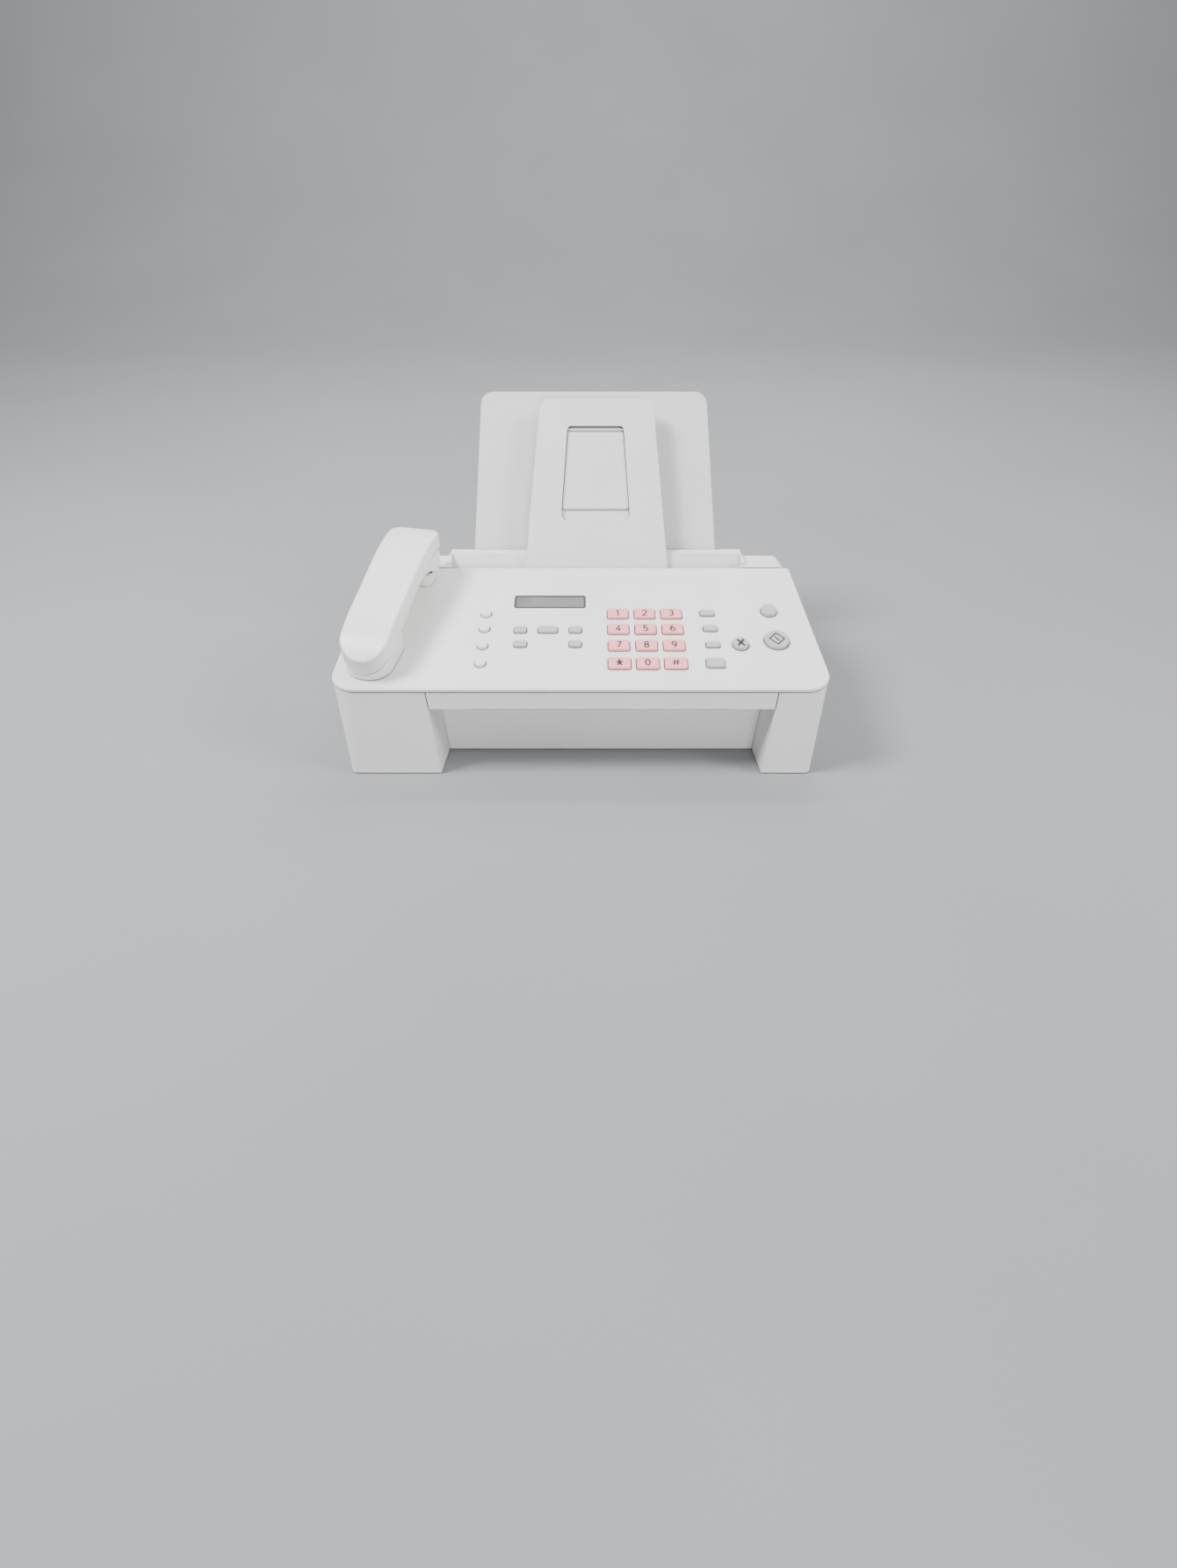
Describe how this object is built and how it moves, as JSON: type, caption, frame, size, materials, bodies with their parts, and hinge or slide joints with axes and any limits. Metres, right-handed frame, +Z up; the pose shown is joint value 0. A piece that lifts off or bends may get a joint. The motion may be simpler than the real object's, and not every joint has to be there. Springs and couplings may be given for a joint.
{
  "type": "fax machine",
  "caption": "Desktop fax machine with a sloping key panel, a handset in its cradle, two upright paper supports and a paper exit bay under a front bridge.",
  "frame": {"origin": "on the table under the centre of the bounding box", "axes": "+X to the user's right, +Y towards the back, +Z up"},
  "size_m": [0.3998, 0.2762, 0.2473],
  "materials": {
    "case": "fine-grained moulded off-white plastic",
    "support": "smooth off-white plastic",
    "handset": "off-white plastic, slightly smoother than the case",
    "digit_key": "soft pink key plastic",
    "grey_key": "light grey key plastic",
    "white_key": "white key plastic",
    "display": "clear window over a grey display",
    "dark_plastic": "black plastic",
    "mechanism": "dark grey engineering plastic",
    "cartridge": "glossy black",
    "circuit_board": "green solder mask",
    "steel": "bright steel",
    "chassis_steel": "zinc-plated sheet",
    "rubber": "black rubber",
    "roller_rubber": "ground rubber"
  },
  "bodies": {
    "machine": {"base_pan": "case", "left_side_cover": "case", "right_side_cover": "case", "front_fascia": "case", "exit_wall": "case", "rear_cover": "case", "rubber_feet": "rubber", "case_screws": "steel", "print_chassis": "chassis_steel", "guide_rod": "steel", "stepper_motors": "steel", "carriage_belt": "rubber", "circuit_boards": "circuit_board", "sockets": "dark_plastic", "monitor_speaker": "dark_plastic", "scanner_bar": "mechanism"},
    "panel": {"top_cover": "case", "lcd_window": "display", "keypad_board": "circuit_board"},
    "handset": {"handset_top_shell": "handset", "handset_bottom_shell": "handset", "handset_capsules": "dark_plastic"},
    "hook": {"hook_switch": "mechanism"},
    "carriage": {"carriage": "mechanism", "ink_cartridge": "cartridge"},
    "pulley": {"belt_pulley": "mechanism"},
    "feed_roller": {"feed_roller": "roller_rubber"},
    "exit_roller": {"exit_roller": "roller_rubber"},
    "document_roller": {"document_roller": "roller_rubber"},
    "paper_support": {"paper_support": "support"},
    "document_support": {"document_support": "support"},
    "flap": {"extension_flap": "support"},
    "key_1": {"key_1": "digit_key"},
    "key_2": {"key_2": "digit_key"},
    "key_3": {"key_3": "digit_key"},
    "key_4": {"key_4": "digit_key"},
    "key_5": {"key_5": "digit_key"},
    "key_6": {"key_6": "digit_key"},
    "key_7": {"key_7": "digit_key"},
    "key_8": {"key_8": "digit_key"},
    "key_9": {"key_9": "digit_key"},
    "key_star": {"key_star": "digit_key"},
    "key_0": {"key_0": "digit_key"},
    "key_hash": {"key_hash": "digit_key"},
    "key_menu": {"key_menu": "grey_key"},
    "key_set": {"key_set": "grey_key"},
    "key_clear": {"key_clear": "grey_key"},
    "key_left": {"key_left": "grey_key"},
    "key_right": {"key_right": "grey_key"},
    "key_onetouch_1": {"key_onetouch_1": "white_key"},
    "key_onetouch_2": {"key_onetouch_2": "white_key"},
    "key_onetouch_3": {"key_onetouch_3": "white_key"},
    "key_onetouch_4": {"key_onetouch_4": "white_key"},
    "key_function_1": {"key_function_1": "grey_key"},
    "key_function_2": {"key_function_2": "grey_key"},
    "key_function_3": {"key_function_3": "grey_key"},
    "key_function_4": {"key_function_4": "grey_key"},
    "key_stop": {"key_stop": "grey_key"},
    "key_start": {"key_start": "grey_key"},
    "key_copy": {"key_copy": "grey_key"}
  },
  "joints": [
    {"name": "back_support_lift", "type": "slide", "parent": "machine", "child": "paper_support", "axis": [0, 0.5, 0.866], "range_m": [0, 0.03]},
    {"name": "belt_pulley_spin", "type": "hinge", "parent": "machine", "child": "pulley", "pos_m": [0.143, -0.01422, 0.07], "axis": [0, -1, 0], "range_deg": [-1915, 0]},
    {"name": "carriage_slide", "type": "slide", "parent": "machine", "child": "carriage", "axis": [1, 0, 0], "range_m": [-0.2, 0]},
    {"name": "cover_hinge", "type": "hinge", "parent": "machine", "child": "panel", "pos_m": [0, 0.02178, 0.108], "axis": [-1, 0, 0], "range_deg": [0, 35]},
    {"name": "document_roller_spin", "type": "hinge", "parent": "machine", "child": "document_roller", "pos_m": [0.0125, 0.00278, 0.0965], "axis": [-1, 0, 0], "continuous": true},
    {"name": "document_support_lift", "type": "slide", "parent": "machine", "child": "document_support", "axis": [0, 0.5, 0.866], "range_m": [0, 0.03]},
    {"name": "exit_roller_spin", "type": "hinge", "parent": "machine", "child": "exit_roller", "pos_m": [0.018, -0.08222, 0.04], "axis": [-1, 0, 0], "continuous": true},
    {"name": "extension_flap_hinge", "type": "hinge", "parent": "document_support", "child": "flap", "pos_m": [0.0127, 0.09721, 0.2223], "axis": [-1, 0, 0], "range_deg": [0, 180]},
    {"name": "feed_roller_spin", "type": "hinge", "parent": "machine", "child": "feed_roller", "pos_m": [0.018, -0.03422, 0.038], "axis": [-1, 0, 0], "continuous": true},
    {"name": "handset_lift", "type": "slide", "parent": "panel", "child": "handset", "axis": [0, -0.225, 0.9744], "range_m": [0, 0.12]},
    {"name": "hook_switch_rise", "type": "slide", "parent": "panel", "child": "hook", "axis": [0, -0.225, 0.9744], "range_m": [0, 0.004]},
    {"name": "key_1_press", "type": "slide", "parent": "panel", "child": "key_1", "axis": [0, 0.225, -0.9744], "range_m": [0, 0.0012], "stiffness_N_per_m": 300, "springref_m": -0.002},
    {"name": "key_2_press", "type": "slide", "parent": "panel", "child": "key_2", "axis": [0, 0.225, -0.9744], "range_m": [0, 0.0012], "stiffness_N_per_m": 300, "springref_m": -0.002},
    {"name": "key_3_press", "type": "slide", "parent": "panel", "child": "key_3", "axis": [0, 0.225, -0.9744], "range_m": [0, 0.0012], "stiffness_N_per_m": 300, "springref_m": -0.002},
    {"name": "key_4_press", "type": "slide", "parent": "panel", "child": "key_4", "axis": [0, 0.225, -0.9744], "range_m": [0, 0.0012], "stiffness_N_per_m": 300, "springref_m": -0.002},
    {"name": "key_5_press", "type": "slide", "parent": "panel", "child": "key_5", "axis": [0, 0.225, -0.9744], "range_m": [0, 0.0012], "stiffness_N_per_m": 300, "springref_m": -0.002},
    {"name": "key_6_press", "type": "slide", "parent": "panel", "child": "key_6", "axis": [0, 0.225, -0.9744], "range_m": [0, 0.0012], "stiffness_N_per_m": 300, "springref_m": -0.002},
    {"name": "key_7_press", "type": "slide", "parent": "panel", "child": "key_7", "axis": [0, 0.225, -0.9744], "range_m": [0, 0.0012], "stiffness_N_per_m": 300, "springref_m": -0.002},
    {"name": "key_8_press", "type": "slide", "parent": "panel", "child": "key_8", "axis": [0, 0.225, -0.9744], "range_m": [0, 0.0012], "stiffness_N_per_m": 300, "springref_m": -0.002},
    {"name": "key_9_press", "type": "slide", "parent": "panel", "child": "key_9", "axis": [0, 0.225, -0.9744], "range_m": [0, 0.0012], "stiffness_N_per_m": 300, "springref_m": -0.002},
    {"name": "key_star_press", "type": "slide", "parent": "panel", "child": "key_star", "axis": [0, 0.225, -0.9744], "range_m": [0, 0.0012], "stiffness_N_per_m": 300, "springref_m": -0.002},
    {"name": "key_0_press", "type": "slide", "parent": "panel", "child": "key_0", "axis": [0, 0.225, -0.9744], "range_m": [0, 0.0012], "stiffness_N_per_m": 300, "springref_m": -0.002},
    {"name": "key_hash_press", "type": "slide", "parent": "panel", "child": "key_hash", "axis": [0, 0.225, -0.9744], "range_m": [0, 0.0012], "stiffness_N_per_m": 300, "springref_m": -0.002},
    {"name": "key_menu_press", "type": "slide", "parent": "panel", "child": "key_menu", "axis": [0, 0.225, -0.9744], "range_m": [0, 0.0012], "stiffness_N_per_m": 300, "springref_m": -0.002},
    {"name": "key_set_press", "type": "slide", "parent": "panel", "child": "key_set", "axis": [0, 0.225, -0.9744], "range_m": [0, 0.0012], "stiffness_N_per_m": 300, "springref_m": -0.002},
    {"name": "key_clear_press", "type": "slide", "parent": "panel", "child": "key_clear", "axis": [0, 0.225, -0.9744], "range_m": [0, 0.0012], "stiffness_N_per_m": 300, "springref_m": -0.002},
    {"name": "key_left_press", "type": "slide", "parent": "panel", "child": "key_left", "axis": [0, 0.225, -0.9744], "range_m": [0, 0.0012], "stiffness_N_per_m": 300, "springref_m": -0.002},
    {"name": "key_right_press", "type": "slide", "parent": "panel", "child": "key_right", "axis": [0, 0.225, -0.9744], "range_m": [0, 0.0012], "stiffness_N_per_m": 300, "springref_m": -0.002},
    {"name": "key_onetouch_1_press", "type": "slide", "parent": "panel", "child": "key_onetouch_1", "axis": [0, 0.225, -0.9744], "range_m": [0, 0.0012], "stiffness_N_per_m": 300, "springref_m": -0.002},
    {"name": "key_onetouch_2_press", "type": "slide", "parent": "panel", "child": "key_onetouch_2", "axis": [0, 0.225, -0.9744], "range_m": [0, 0.0012], "stiffness_N_per_m": 300, "springref_m": -0.002},
    {"name": "key_onetouch_3_press", "type": "slide", "parent": "panel", "child": "key_onetouch_3", "axis": [0, 0.225, -0.9744], "range_m": [0, 0.0012], "stiffness_N_per_m": 300, "springref_m": -0.002},
    {"name": "key_onetouch_4_press", "type": "slide", "parent": "panel", "child": "key_onetouch_4", "axis": [0, 0.225, -0.9744], "range_m": [0, 0.0012], "stiffness_N_per_m": 300, "springref_m": -0.002},
    {"name": "key_function_1_press", "type": "slide", "parent": "panel", "child": "key_function_1", "axis": [0, 0.225, -0.9744], "range_m": [0, 0.0012], "stiffness_N_per_m": 300, "springref_m": -0.002},
    {"name": "key_function_2_press", "type": "slide", "parent": "panel", "child": "key_function_2", "axis": [0, 0.225, -0.9744], "range_m": [0, 0.0012], "stiffness_N_per_m": 300, "springref_m": -0.002},
    {"name": "key_function_3_press", "type": "slide", "parent": "panel", "child": "key_function_3", "axis": [0, 0.225, -0.9744], "range_m": [0, 0.0012], "stiffness_N_per_m": 300, "springref_m": -0.002},
    {"name": "key_function_4_press", "type": "slide", "parent": "panel", "child": "key_function_4", "axis": [0, 0.225, -0.9744], "range_m": [0, 0.0012], "stiffness_N_per_m": 300, "springref_m": -0.002},
    {"name": "key_stop_press", "type": "slide", "parent": "panel", "child": "key_stop", "axis": [0, 0.225, -0.9744], "range_m": [0, 0.0012], "stiffness_N_per_m": 300, "springref_m": -0.002},
    {"name": "key_start_press", "type": "slide", "parent": "panel", "child": "key_start", "axis": [0, 0.225, -0.9744], "range_m": [0, 0.0012], "stiffness_N_per_m": 300, "springref_m": -0.002},
    {"name": "key_copy_press", "type": "slide", "parent": "panel", "child": "key_copy", "axis": [0, 0.225, -0.9744], "range_m": [0, 0.0012], "stiffness_N_per_m": 300, "springref_m": -0.002}
  ],
  "couplings": [
    {"joint": "belt_pulley_spin", "follows": "carriage_slide", "rad_per_m": 166.67},
    {"joint": "exit_roller_spin", "follows": "feed_roller_spin", "ratio": 1.3333},
    {"joint": "hook_switch_rise", "follows": "handset_lift", "ratio": 0.033333}
  ]
}
